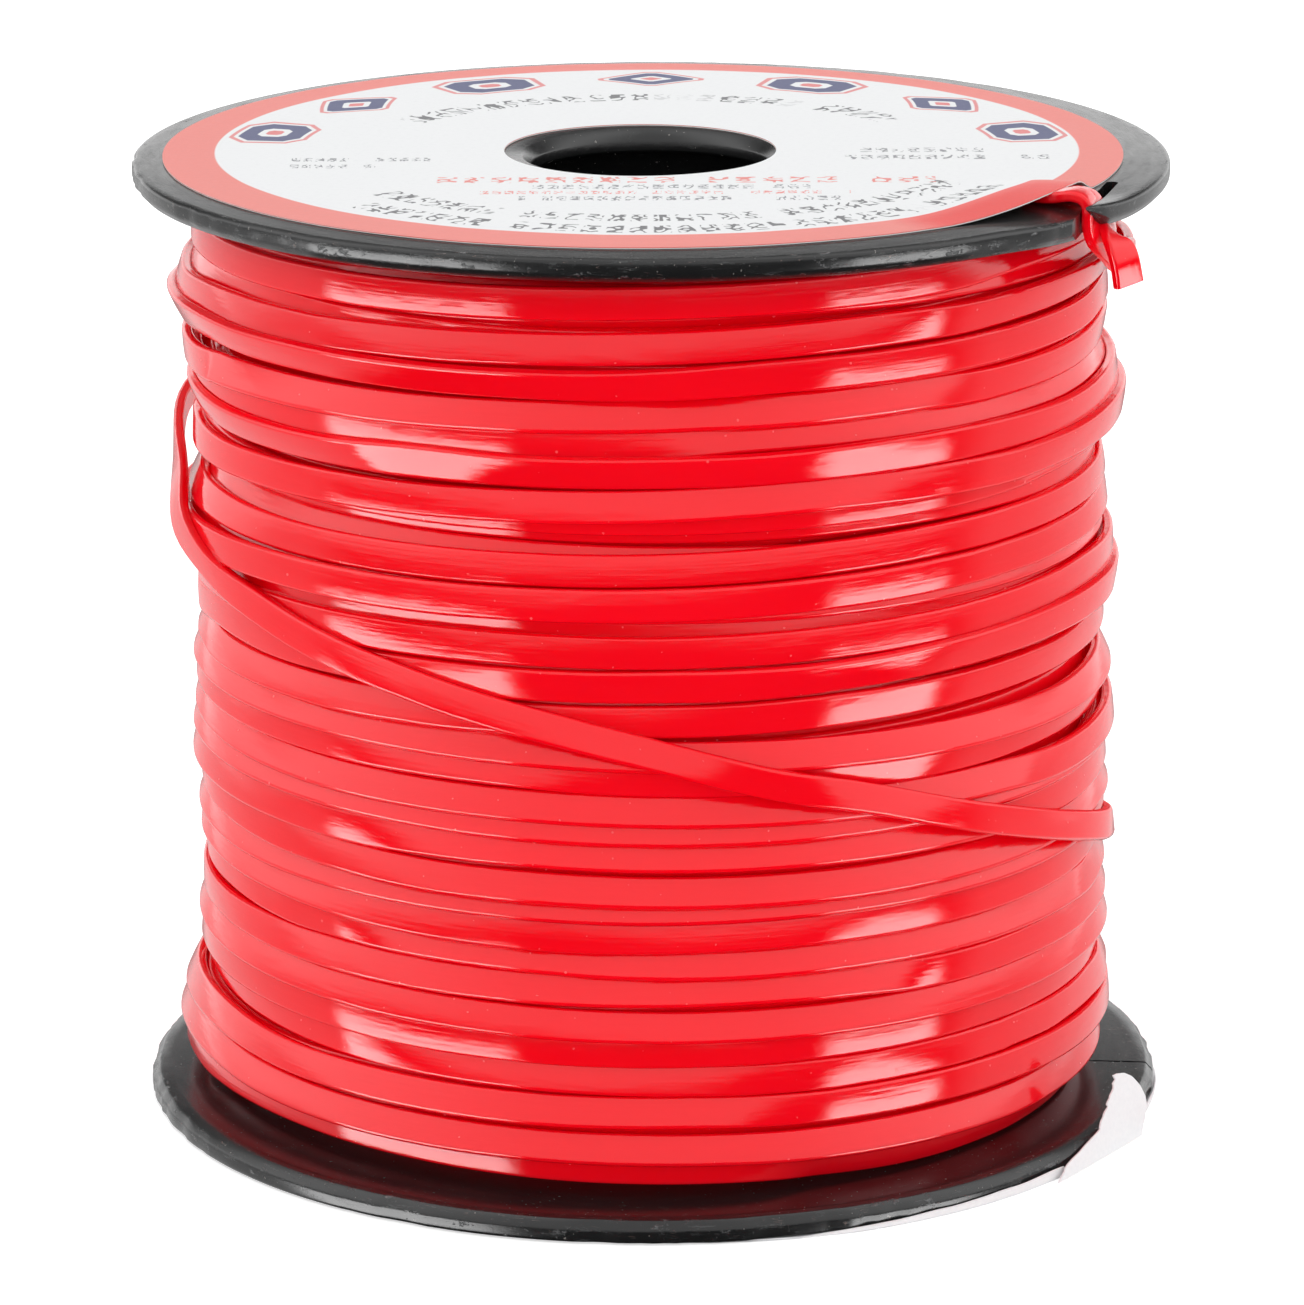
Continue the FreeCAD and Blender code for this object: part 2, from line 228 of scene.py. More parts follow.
def hump(a, z, azimuth, height, wide, tall):
    """Smooth hump of unit size at an azimuth, in radians, and a height."""
    return np.exp(-((np.angle(np.exp(1j * (a - azimuth))) / wide) ** 2 + ((z - height) / tall) ** 2))


def wind():
    """The winding (height, radius, slope), its traverses' ends, the sample at azimuth 0, what is under it."""
    a, z = np.meshgrid(np.arange(TURN) * STEP, LOW + np.arange(ROWS) * DZ, indexing="ij")
    pack = np.full((TURN, ROWS), BASE_RADIUS)
    for _ in range(14):
        azimuth, height = rng.uniform(0, 2 * math.pi), rng.uniform(LOW, HIGH)
        pack += 0.15 * rng.normal() * hump(a, z, azimuth, height, 0.9, 5.0)
    for azimuth, height, size in BULGES:
        pack += size * hump(a, z, math.radians(azimuth), height, 0.6, 2.4)
    pack -= 1.0 * np.exp(-((z - LOW) / 2.0) ** 2)
    pack += 0.7 / (1 + np.exp((z - 38.0) / 2.0))
    bedding = pack.copy()
    guide, ends, origin = guide_path()
    lean = np.zeros(len(guide))
    for first, end, value in zip([0] + ends, ends, LEAN):
        lean[first:end] = value
    last = ends[-2]
    lean[:last] *= 1.05 - 0.75 * smoothstep(38.0, 66.0, guide[:last])
    lean[:last] += 0.045 * smooth_noise(last, 90, rng) + 0.035 * smooth_noise(last, 300, rng)
    turned_by = (origin - np.arange(len(guide))) * 360.0 / TURN
    lean[last:] *= smoothstep(274, 300, turned_by[last:])
    return lay(pack, guide, blur(lean, 24), origin, last), ends, origin, bedding


# ---------------------------------------------------------------------------
# Meshes
# ---------------------------------------------------------------------------
UP = np.array([0.0, 0.0, 1.0])


def outward(azimuth):
    """Unit vector from the axis towards an azimuth in degrees: 0 is the front, 90 the right."""
    t = np.radians(azimuth)
    return np.stack([np.sin(t), -np.cos(t), np.zeros_like(t)], axis=-1)


def unit(v):
    return v / np.linalg.norm(v, axis=-1, keepdims=True)


def spline(points, count):
    """Smooth curve through control points, as `count` samples."""
    p = np.asarray(points, float)
    p = np.concatenate([[2 * p[0] - p[1]], p, [2 * p[-1] - p[-2]]])
    t = np.linspace(0, len(p) - 3, count)
    i = np.minimum(t.astype(int), len(p) - 4)
    f = (t - i)[:, None]
    a, b, c, d = p[i], p[i + 1], p[i + 2], p[i + 3]
    bend = (2 * a - 5 * b + 4 * c - d) * f ** 2 + (3 * b - a - 3 * c + d) * f ** 3
    return 0.5 * (2 * b + (c - a) * f + bend)


def lace_outline(arc, corner=0.27, crown=0.03):
    """Cross-section of the lace, its outer face crowned: points and normals as (across, out)."""
    points, normals = [], []
    for sx, sy, start in ((1, 1, 0), (-1, 1, 90), (-1, -1, 180), (1, -1, 270)):
        cx, cy = sx * (WIDTH / 2 - corner), sy * (THICK / 2 - corner)
        for i in range(arc + 1):
            t = math.radians(start + 90 * i / arc)
            points.append((cx + corner * math.cos(t), cy + corner * math.sin(t)))
            meets_face = sy > 0 and i == (arc if start == 0 else 0)
            if meets_face:
                t = math.pi / 2 - 2 * crown / cx
            normals.append((math.cos(t), math.sin(t)))
        if start == 0:
            points.append((0.0, THICK / 2 + crown))
            normals.append((0.0, 1.0))
    return np.array(points), np.array(normals)


def make_object(name, vertices, faces, material, normals=None, uvs=None, sharp=None):
    mesh = bpy.data.meshes.new(name)
    mesh.from_pydata((np.asarray(vertices) * MM).tolist(), [], [tuple(int(i) for i in f) for f in faces])
    mesh.polygons.foreach_set("use_smooth", [True] * len(mesh.polygons))
    if uvs is not None:
        layer = mesh.uv_layers.new(name="flat")
        index = np.zeros(len(mesh.loops), int)
        mesh.loops.foreach_get("vertex_index", index)
        layer.data.foreach_set("uv", np.asarray(uvs)[index].astype(np.float32).ravel())
    mesh.update()
    if normals is not None:
        mesh.normals_split_custom_set_from_vertices(np.asarray(normals).tolist())
    if sharp is not None:
        mesh.set_sharp_from_angle(angle=math.radians(sharp))
    mesh.materials.append(material)
    obj = bpy.data.objects.new(name, mesh)
    bpy.context.scene.collection.objects.link(obj)
    return obj


def strip(name, centre, across, out, material, arc=2):
    """Lace swept through rows of centre points, width directions and outward directions."""
    points, normals = lace_outline(arc)
    n, m = len(centre), len(points)
    side, face = across[:, None, :], out[:, None, :]
    vertices = centre[:, None, :] + side * points[None, :, :1] + face * points[None, :, 1:]
    normal = side * normals[None, :, :1] + face * normals[None, :, 1:]
    i, j = np.meshgrid(np.arange(n - 1), np.arange(m), indexing="ij")
    k = (j + 1) % m
    faces = np.stack([i * m + j, i * m + k, (i + 1) * m + k, (i + 1) * m + j], axis=-1).reshape(-1, 4)
    caps = [list(range(m))[::-1], [(n - 1) * m + q for q in range(m)]]
    if (np.cross(across, out) * np.gradient(centre, axis=0)).sum() < 0:
        faces = faces[:, ::-1]
        caps = [c[::-1] for c in caps]
    length = np.concatenate([[0], np.cumsum(np.linalg.norm(np.diff(centre, axis=0), axis=1))])
    uv = np.stack([np.repeat(length, m), np.tile(points[:, 0], n)], axis=-1)
    faces = faces.tolist() + caps
    return make_object(name, vertices.reshape(-1, 3), faces, material, normal.reshape(-1, 3), uv)


def ribbon(name, points, facing, count, material):
    """Lace through control points, with the direction its face looks at each of them."""
    centre = spline(points, count)
    travel = unit(np.gradient(centre, axis=0))
    out = spline(facing, count)
    out = unit(out - travel * (out * travel).sum(axis=1, keepdims=True))
    return strip(name, centre, np.cross(travel, out), out, material, arc=4)


def wound_strip(name, samples, winding, origin, material, lift=None):
    """One stretch of the wound lace as a mesh."""
    z, radius, slope = winding
    pick = samples[::3]
    t = slope[pick]
    size = np.sqrt(1 + t * t)[:, None]
    radial = outward((origin - pick) * 360.0 / TURN)
    across = (radial * t[:, None] + UP) / size
    out = (radial - UP * t[:, None]) / size
    r = radius[pick] if lift is None else radius[pick] + lift[::3]
    centre = radial * r[:, None] + UP * z[pick][:, None] + out * (THICK / 2)
    return strip(name, centre, across, out, material)


BACK = 200.0                     # added to the first texture coordinate on a sheet's underside


def sheet(name, top, bottom, closed, material, uvs):
    """Thin sheet from two grids of points [row][column]; closed joins the last column to the first."""
    rows, columns = top.shape[:2]
    count = rows * columns
    last = columns if closed else columns - 1
    faces = []
    for i in range(rows - 1):
        for j in range(last):
            k = (j + 1) % columns
            q = (i * columns + j, i * columns + k, (i + 1) * columns + k, (i + 1) * columns + j)
            faces += [q, tuple(count + v for v in q[::-1])]
    for row, flip in ((0, False), (rows - 1, True)):
        for j in range(last):
            k = (j + 1) % columns
            a, b = row * columns + j, row * columns + k
            q = (a, count + a, count + b, b)
            faces.append(q[::-1] if flip else q)
    if not closed:
        for column, flip in ((0, True), (columns - 1, False)):
            for i in range(rows - 1):
                a, b = i * columns + column, (i + 1) * columns + column
                q = (a, count + a, count + b, b)
                faces.append(q[::-1] if flip else q)
    vertices = np.concatenate([top.reshape(-1, 3), bottom.reshape(-1, 3)])
    return make_object(name, vertices, faces, material, uvs=np.concatenate([uvs, uvs + [BACK, 0]]), sharp=40)


def ring(name, vertices, material, uvs=None, sharp=None):
    """Closed ring from a grid of points [column][place round the section]; sections run anticlockwise."""
    n, m = vertices.shape[:2]
    i, j = np.meshgrid(np.arange(n), np.arange(m), indexing="ij")
    k, l = (i + 1) % n, (j + 1) % m
    faces = np.stack([i * m + j, k * m + j, k * m + l, i * m + l], axis=-1).reshape(-1, 4)
    return make_object(name, vertices.reshape(-1, 3), faces.tolist(), material, uvs=uvs, sharp=sharp)


def turned(name, profile, columns, material):
    """Ring turned from a closed profile of (radius, z), given anticlockwise."""
    radial = outward(columns)[:, None, :]
    return ring(name, radial * profile[None, :, :1] + UP * profile[None, :, 1:], material)


def inner_pack(name, bedding, inner, material):
    """The lace wound beneath the strands laid one by one: a ring whose outside is ribbed turn by turn."""
    columns = np.arange(0, TURN, 6)
    rows = np.arange(0, ROWS, 4)
    radial = outward(columns * 360.0 / TURN)
    z = LOW + rows * DZ
    turn = (z[None, :] - LOW) / WIDTH + columns[:, None] / TURN
    rib = 0.25 * np.abs(np.sin(math.pi * turn)) ** 0.5 - 0.3
    outer = bedding[columns][:, rows] + rib
    skin = radial[:, None, :] * outer[..., None] + UP * z[None, :, None]
    bore = radial[:, None, :] * inner + UP * np.array([HIGH, LOW])[None, :, None]
    vertices = np.concatenate([skin, bore], axis=1)
    along = np.repeat(columns * 0.38, vertices.shape[1])
    uvs = np.stack([along, vertices[..., 2].ravel()], axis=-1)
    return ring(name, vertices, material, uvs, sharp=60)


def flange_profile():
    """Section of a flange, outer face at z = 0 and spigot upwards; the rim is slightly rounded by wear."""
    rim = [(RIM - 0.3 + 0.3 * math.sin(t), 0.3 - 0.3 * math.cos(t)) for t in np.radians([0, 30, 60, 90])]
    rim += [(RIM, 0.6), (RIM, 0.85), (RIM - 0.02, 1.05), (RIM - 0.12, 1.22), (RIM - 0.34, 1.44)]
    rim += [(RIM - 0.52, 1.62), (RIM - 0.7, 1.7)]
    face = [(r, 1.7) for r in (37.4, 36.4, 34.0, 28.0, 20.0)]
    plug = [(13.95, 1.7), (13.95, 4.5), (13.95, 7.3), (13.8, 7.55), (13.55, 7.7), (12.6, 7.7), (12.45, 7.55),
            (12.45, 4.5), (12.45, 1.7)]
    bore = [(9.2, 1.7), (9.0, 1.5), (9.0, 0.85), (9.06, 0.7), (9.7, 0.06), (9.8, 0.0)]
    back = [(r, 0.0) for r in (12.0, 16.0, 22.0, 28.0, 33.0, 36.0, 37.4, 38.2)]
    return np.array(rim + face + plug + bore + back)


def get_places(obj):
    """Places of a mesh's vertices, in millimetres."""
    place = np.zeros(len(obj.data.vertices) * 3)
    obj.data.vertices.foreach_get("co", place)
    return place.reshape(-1, 3) / MM


def set_places(obj, place):
    obj.data.vertices.foreach_set("co", (place * MM).ravel())
    obj.data.update()


def azimuth_of(place):
    """Azimuth, in degrees, of places [..., x y]."""
    return np.degrees(np.arctan2(place[..., 0], -place[..., 1]))


def wear(obj, seed, depth):
    """Knocks and scrapes on the rim of a flange."""
    p = get_places(obj)
    turned_by = azimuth_of(p) % 360
    radius = np.hypot(p[:, 0], p[:, 1])
    knocks = np.random.default_rng(seed)
    at = np.arange(0, 720) * 0.5
    dent = np.abs(smooth_noise(720, 3, knocks)) ** 2
    dent *= smoothstep(0.5, 1.3, np.abs(smooth_noise(720, 30, knocks)))
    dent = np.clip(dent * 0.2, 0, depth)
    amount = np.interp(turned_by, at, dent, period=360) * smoothstep(RIM - 0.9, RIM - 0.1, radius)
    p[:, :2] *= (1 - amount / np.maximum(radius, 1))[:, None]
    set_places(obj, p)


def cut(obj, cutter):
    """Cuts one mesh with another, as new mesh data."""
    modifier = obj.modifiers.new("cut", "BOOLEAN")
    modifier.operation, modifier.solver, modifier.object = "DIFFERENCE", "EXACT", cutter
    graph = bpy.context.evaluated_depsgraph_get()
    result = bpy.data.meshes.new_from_object(obj.evaluated_get(graph))
    obj.modifiers.clear()
    obj.data = result
    bpy.data.objects.remove(cutter)


def prism(name, outline, low, high):
    """Upright prism over an outline of (x, y), given anticlockwise."""
    n = len(outline)
    vertices = [(x, y, low) for x, y in outline] + [(x, y, high) for x, y in outline]
    faces = [list(range(n))[::-1], list(range(n, 2 * n))]
    faces += [[i, (i + 1) % n, n + (i + 1) % n, n + i] for i in range(n)]
    return make_object(name, vertices, faces, plastic)


# ---------------------------------------------------------------------------
# Materials
# ---------------------------------------------------------------------------


class Graph:
    """Short names for building a node tree."""

    def __init__(self, tree):
        self.nodes, self.links = tree.nodes, tree.links

    def put(self, socket, value):
        if isinstance(value, bpy.types.NodeSocket):
            self.links.new(value, socket)
        else:
            socket.default_value = value

    def math(self, operation, a, b=0.0):
        node = self.nodes.new("ShaderNodeMath")
        node.operation = operation
        self.put(node.inputs[0], a)
        self.put(node.inputs[1], b)
        return node.outputs[0]

    def ramp(self, value, low, high):
        """0 below low, 1 above high, smooth between."""
        node = self.nodes.new("ShaderNodeMapRange")
        node.interpolation_type = "SMOOTHSTEP"
        self.put(node.inputs["Value"], value)
        self.put(node.inputs["From Min"], low)
        self.put(node.inputs["From Max"], high)
        return node.outputs[0]

    def band(self, value, low, high, soft):
        """1 between low and high, with soft edges."""
        return self.math("MULTIPLY", self.ramp(value, low - soft, low + soft),
                         self.math("SUBTRACT", 1.0, self.ramp(value, high - soft, high + soft)))

    def vector(self, x, y, z=0.0):
        node = self.nodes.new("ShaderNodeCombineXYZ")
        for socket, value in zip(node.inputs, (x, y, z)):
            self.put(socket, value)
        return node.outputs[0]

    def split(self, vector):
        node = self.nodes.new("ShaderNodeSeparateXYZ")
        self.put(node.inputs[0], vector)
        return node.outputs

    def noise(self, vector, scale, detail=2.0, roughness=0.5):
        node = self.nodes.new("ShaderNodeTexNoise")
        self.put(node.inputs["Vector"], vector)
        self.put(node.inputs["Scale"], scale)
        self.put(node.inputs["Detail"], detail)
        self.put(node.inputs["Roughness"], roughness)
        return node.outputs[0]

    def mix(self, factor, a, b):
        node = self.nodes.new("ShaderNodeMix")
        node.data_type = "RGBA"
        self.put(node.inputs[0], factor)
        self.put(node.inputs[6], a)
        self.put(node.inputs[7], b)
        return node.outputs[2]

    def bump(self, height, strength, distance, normal=None):
        node = self.nodes.new("ShaderNodeBump")
        if normal is not None:
            self.put(node.inputs["Normal"], normal)
        self.put(node.inputs["Height"], height)
        self.put(node.inputs["Strength"], strength)
        self.put(node.inputs["Distance"], distance)
        return node.outputs[0]

    def uv(self):
        node = self.nodes.new("ShaderNodeUVMap")
        node.uv_map = "flat"
        return node.outputs[0]

    def position(self):
        """Place on the object at rest, in millimetres."""
        node = self.nodes.new("ShaderNodeTexCoord")
        scale = self.nodes.new("ShaderNodeVectorMath")
        scale.operation = "SCALE"
        self.put(scale.inputs[0], node.outputs["Object"])
        scale.inputs["Scale"].default_value = 1 / MM
        return scale.outputs[0]


def new_material(name):
    material = bpy.data.materials.new(name)
    material.use_nodes = True
    return material, Graph(material.node_tree), material.node_tree.nodes["Principled BSDF"]


def srgb(r, g, b):
    """Linear colour of an 8-bit sRGB one."""
    shares = [c / 255 for c in (r, g, b)]
    return tuple(c / 12.92 if c <= 0.04045 else ((c + 0.055) / 1.055) ** 2.4 for c in shares) + (1,)


def lace_material():
    """Glossy vinyl: faint lines along the lace from its die, slow colour drift, a few specks of dust, and a
    faint painted red glow in place of light passing through the vinyl.
    """
    material, g, shader = new_material("lace_pvc")
    u, v, _ = g.split(g.uv())
    drift = g.noise(g.vector(g.math("MULTIPLY", u, 0.03), 0.0), 1.0, 1.0)
    lines = g.noise(g.vector(g.math("MULTIPLY", u, 0.02), g.math("MULTIPLY", v, 5.0)), 1.0, 3.0, 0.6)
    mottle = g.noise(g.vector(g.math("MULTIPLY", u, 0.35), g.math("MULTIPLY", v, 1.2)), 1.0, 2.0)
    grain = g.noise(g.vector(u, v), 6.0, 2.0)
    speck = g.ramp(g.noise(g.vector(u, v, 3.0), 2.6, 0.0), 0.845, 0.86)
    colour = g.mix(drift, srgb(234, 3, 18), srgb(248, 8, 31))
    colour = g.mix(g.math("MULTIPLY", speck, 0.25), colour, srgb(255, 150, 150))
    g.put(shader.inputs["Base Color"], colour)
    rough = g.math("ADD", g.math("MULTIPLY", mottle, 0.07), g.math("MULTIPLY", speck, 0.3))
    g.put(shader.inputs["Roughness"], g.math("ADD", 0.06, rough))
    shader.inputs["IOR"].default_value = 1.5
    shader.inputs["Subsurface Weight"].default_value = 0.5
    shader.inputs["Subsurface Radius"].default_value = (1.0, 0.04, 0.05)
    shader.inputs["Subsurface Scale"].default_value = 1.2 * MM
    # painted glow: a faint red emission stands in for light passing through the vinyl and lifts the shade in
    # the gaps between strands
    shader.inputs["Emission Color"].default_value = srgb(255, 0, 24)
    shader.inputs["Emission Strength"].default_value = 0.025
    height = g.math("ADD", g.math("MULTIPLY", lines, 0.6), g.math("MULTIPLY", grain, 0.12))
    height = g.math("ADD", height, g.math("MULTIPLY", mottle, 1.6))
    g.put(shader.inputs["Normal"], g.bump(height, 0.25, 0.00006))
    return material


def plastic_material():
    """Moulded black plastic: satin, with scuffs and dust, worn paler at the rim."""
    material, g, shader = new_material("flange_plastic")
    place = g.position()
    x, y, z = g.split(place)
    radius = g.math("SQRT", g.math("ADD", g.math("MULTIPLY", x, x), g.math("MULTIPLY", y, y)))
    angle = g.math("ARCTAN2", x, g.math("MULTIPLY", y, -1.0))
    around = g.vector(g.math("MULTIPLY", angle, 9.0), radius, g.math("MULTIPLY", z, 1.6))
    cloud = g.noise(place, 0.25, 4.0)
    scuff = g.noise(around, 1.1, 5.0, 0.7)
    dust = g.ramp(g.noise(place, 3.4, 1.0), 0.74, 0.78)
    rim = g.ramp(radius, 38.2, 38.9)
    wear = g.math("MULTIPLY", g.ramp(scuff, 0.56, 0.7), g.math("ADD", 0.06, g.math("MULTIPLY", rim, 0.25)))
    chip = g.noise(g.vector(g.math("MULTIPLY", angle, 30.0), g.math("MULTIPLY", radius, 1.5),
                            g.math("MULTIPLY", z, 1.3)), 1.0, 4.0, 0.75)
    patch = g.ramp(g.noise(g.vector(g.math("MULTIPLY", angle, 4.0), z), 1.0, 1.0), 0.5, 0.62)
    edge = g.math("MULTIPLY", g.ramp(radius, 37.9, 38.6), g.ramp(chip, 0.56, 0.70))
    edge = g.math("MULTIPLY", edge, g.math("ADD", 0.12, g.math("MULTIPLY", patch, 0.88)))
    colour = g.mix(cloud, srgb(20, 20, 21), srgb(30, 31, 31))
    colour = g.mix(wear, colour, srgb(95, 98, 98))
    colour = g.mix(g.math("MULTIPLY", edge, 0.5), colour, srgb(120, 122, 124))
    colour = g.mix(g.math("MULTIPLY", dust, 0.4), colour, srgb(170, 165, 160))
    streaks = g.vector(g.math("MULTIPLY", angle, 7.0), g.math("MULTIPLY", radius, 2.6), z)
    scratch = g.band(g.noise(streaks, 1.0, 2.0, 0.8), 0.497, 0.503, 0.002)
    scratch = g.math("MULTIPLY", scratch, g.ramp(g.noise(place, 0.9, 1.0), 0.56, 0.66))
    scratch = g.math("MULTIPLY", scratch, g.ramp(radius, 31.0, 37.0))
    colour = g.mix(g.math("MULTIPLY", scratch, 0.45), colour, srgb(150, 128, 120))
    g.put(shader.inputs["Base Color"], colour)
    rough = g.math("ADD", 0.14, g.math("MULTIPLY", scuff, 0.16))
    g.put(shader.inputs["Roughness"], g.math("ADD", rough, g.math("MULTIPLY", wear, 0.3)))
    pits = g.math("MULTIPLY", g.noise(place, 5.0, 2.0), 0.12)
    height = g.math("ADD", g.math("MULTIPLY", scuff, 0.35), pits)
    height = g.math("ADD", height, g.math("MULTIPLY", edge, 1.3))
    bowed = g.bump(g.math("MULTIPLY", g.math("MULTIPLY", radius, radius), -0.78 * MM * MM), 1.0, 1.0)
    g.put(shader.inputs["Normal"], g.bump(height, 0.35, 0.00012, bowed))
    return material


def greek(g, along, across, start, end, height, cell, seed):
    """Mask of a line of made-up marks: strokes in letter-sized cells, with gaps between words."""
    inside = g.band(along, start, end, 0.03)
    inside = g.math("MULTIPLY", inside, g.band(across, -height / 2, height / 2, 0.04))
    cells = g.math("DIVIDE", along, cell)
    key = g.math("FLOOR", cells)
    word = g.noise(g.vector(key, seed), 0.37, 0.0)
    within = g.math("FRACT", cells)
    letter = g.band(within, 0.14, 0.86, 0.04)
    place = g.vector(g.math("MULTIPLY", within, 2.2), g.math("DIVIDE", across, height * 0.42),
                     g.math("ADD", g.math("MULTIPLY", key, 3.7), seed))
    stroke = g.band(g.noise(place, 1.0, 0.0), 0.41, 0.56, 0.012)
    mask = g.math("MULTIPLY", g.math("MULTIPLY", inside, letter), stroke)
    return g.math("MULTIPLY", mask, g.ramp(word, 0.36, 0.38))


def print_material():
    """Coated paper label: salmon border band, painted deeper red over the lace loop as shade and reflected
    red light, a ring of ornament tiles and lines of made-up marks.
    """
    material, g, shader = new_material("label_print")
    x, y, _ = g.split(g.uv())

    def distance(cx, cy):
        a, b = g.math("SUBTRACT", x, cx), g.math("SUBTRACT", y, cy)
        return g.math("SQRT", g.math("ADD", g.math("MULTIPLY", a, a), g.math("MULTIPLY", b, b)))

    radius = distance(0.0, 0.0)
    angle = g.math("ARCTAN2", x, g.math("MULTIPLY", y, -1.0))
    back = g.math("ARCTAN2", x, y)
    white = srgb(238, 239, 240)
    # painted shade and reflection: where the lifted edge tilts over the lace loop, the salmon band is painted
    # deeper red, standing in for shade and red light reflected from the lace
    painted_shade_over_lace = g.band(angle, math.radians(35), math.radians(61), 0.06)
    painted_shade_over_lace = g.math("MULTIPLY", painted_shade_over_lace, g.ramp(radius, 29, 33))
    salmon_with_painted_shade = g.mix(painted_shade_over_lace, srgb(240, 138, 130), srgb(238, 84, 80))
    colour = g.mix(g.ramp(distance(-0.3, 1.7), 32.5, 32.65), white, salmon_with_painted_shade)
    # a ring of seven tiles round the back, 25 degrees apart
    tile = g.math("MULTIPLY", g.math("ADD", back, math.radians(87.5)), 180 / math.pi / 25.0)
    u = g.math("MULTIPLY", g.math("ABSOLUTE", g.math("SUBTRACT", g.math("FRACT", tile), 0.5)), 13.2)
    v = g.math("ABSOLUTE", g.math("SUBTRACT", distance(-0.2, 0.9), 29.3))
    odd = g.ramp(g.math("FRACT", g.math("MULTIPLY", g.math("FLOOR", tile), 0.5)), 0.2, 0.3)
    reach = g.math("MAXIMUM", g.math("MULTIPLY", u, 0.72), v)
    spin = g.math("ADD", g.math("MULTIPLY", u, 0.72), v)
    clip = g.math("ADD", 0.64, g.math("MULTIPLY", odd, 0.26))
    shape = g.math("MAXIMUM", reach, g.math("MULTIPLY", spin, clip))
    row = g.math("MULTIPLY", g.ramp(tile, 0.0, 0.01), g.math("SUBTRACT", 1.0, g.ramp(tile, 6.99, 7.0)))
    outer = g.math("MULTIPLY", row, g.band(shape, 2.72, 3.05, 0.05))
    inner = g.math("MULTIPLY", row, g.band(shape, 1.15, 2.42, 0.05))
    heart = g.math("MULTIPLY", row, g.band(shape, -1.0, 0.62, 0.05))
    colour = g.mix(g.math("MULTIPLY", outer, 0.75), colour, srgb(226, 84, 82))
    colour = g.mix(g.math("MULTIPLY", inner, 0.9), colour, srgb(48, 56, 112))
    colour = g.mix(g.math("MULTIPLY", heart, 0.8), colour, srgb(226, 84, 82))
    # lines round the centre: angle measure, radius, first and last angle, height of a mark, cell, ink, seed
    dark, grey, red = srgb(70, 70, 74), srgb(120, 120, 126), srgb(232, 110, 98)
    for measure, r, low, high, height, cell, ink, seed in (
            (back, 22.3, -56.0, 56.0, 2.6, 1.75, dark, 1.0), (angle, 24.9, -52.0, 62.0, 2.3, 1.6, dark, 2.0),
            (angle, 28.9, -46.0, 60.0, 2.4, 1.7, dark, 3.0)):
        start, end = math.radians(low) * r, math.radians(high) * r
        along, across = g.math("MULTIPLY", measure, r), g.math("SUBTRACT", radius, r)
        mask = greek(g, along, across, start, end, height, cell, seed)
        colour = g.mix(g.math("MULTIPLY", mask, 0.85), colour, ink)
    # straight lines: y, first and last x, height of a mark, cell, ink, seed
    for y0, low, high, height, cell, ink, seed in (
            (-3.0, -27.5, -16.5, 1.3, 0.9, grey, 4.0), (-5.6, -28.0, -20.5, 1.3, 0.9, grey, 5.0),
            (0.4, 15.0, 26.3, 1.6, 1.2, grey, 6.0), (-2.4, 13.4, 30.3, 1.6, 1.2, grey, 7.0),
            (-13.5, -8.8, 11.7, 1.5, 1.1, grey, 8.0), (-15.6, -12.5, 14.6, 1.1, 0.9, red, 9.0),
            (-17.8, -9.6, 13.8, 1.5, 1.0, grey, 10.0), (-10.9, -18.9, 21.0, 2.1, 2.0, red, 11.0)):
        mask = greek(g, x, g.math("SUBTRACT", y, y0), low, high, height, cell, seed)
        colour = g.mix(g.math("MULTIPLY", mask, 0.85), colour, ink)
    colour = g.mix(g.ramp(x, BACK / 2 - 1, BACK / 2 + 1), colour, srgb(232, 232, 230))
    fibre = g.noise(g.vector(x, y), 2.2, 4.0, 0.6)
    colour = g.mix(g.math("MULTIPLY", g.ramp(fibre, 0.45, 0.8), 0.10), colour, srgb(190, 190, 195))
    g.put(shader.inputs["Base Color"], colour)
    g.put(shader.inputs["Roughness"], g.math("ADD", 0.36, g.math("MULTIPLY", fibre, 0.2)))
    shader.inputs["IOR"].default_value = 1.4
    g.put(shader.inputs["Normal"], g.bump(g.noise(g.vector(x, y), 1.1, 5.0, 0.7), 0.2, 0.0001))
    return material


def paper_material():
    """Plain white label paper with a little fibre."""
    material, g, shader = new_material("label_plain")
    place = g.position()
    fibre = g.noise(place, 2.5, 5.0, 0.7)
    g.put(shader.inputs["Base Color"], g.mix(fibre, srgb(228, 229, 232), srgb(246, 246, 246)))
    g.put(shader.inputs["Roughness"], g.math("ADD", 0.5, g.math("MULTIPLY", fibre, 0.3)))
    g.put(shader.inputs["Normal"], g.bump(fibre, 0.3, 0.0001))
    return material


# ---------------------------------------------------------------------------
# Build
# ---------------------------------------------------------------------------
lace = lace_material()
plastic = plastic_material()
printed = print_material()
paper = paper_material()
# CAD nodes that stay take the same materials
for name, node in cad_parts.items():
    node.data.materials.clear()
    node.data.materials.append(lace if "lace" in name else paper if "label" in name else plastic)

SLIT = math.radians(14.2)        # how far the slit turns from +Y towards +X
ALONG = np.array([math.sin(SLIT), math.cos(SLIT), 0.0])
INWARD = np.array([-ALONG[1], ALONG[0], 0.0])
MOUTH = np.array([31.35, -21.9, 0.0])
SLIT_DEPTH, SLIT_HALF = 11.0, 0.45


def by_slit(place, inward, z):
    """Point near the slit: how far along it from its mouth, how far across, and its height."""
    return MOUTH + ALONG * place + INWARD * inward + UP * z


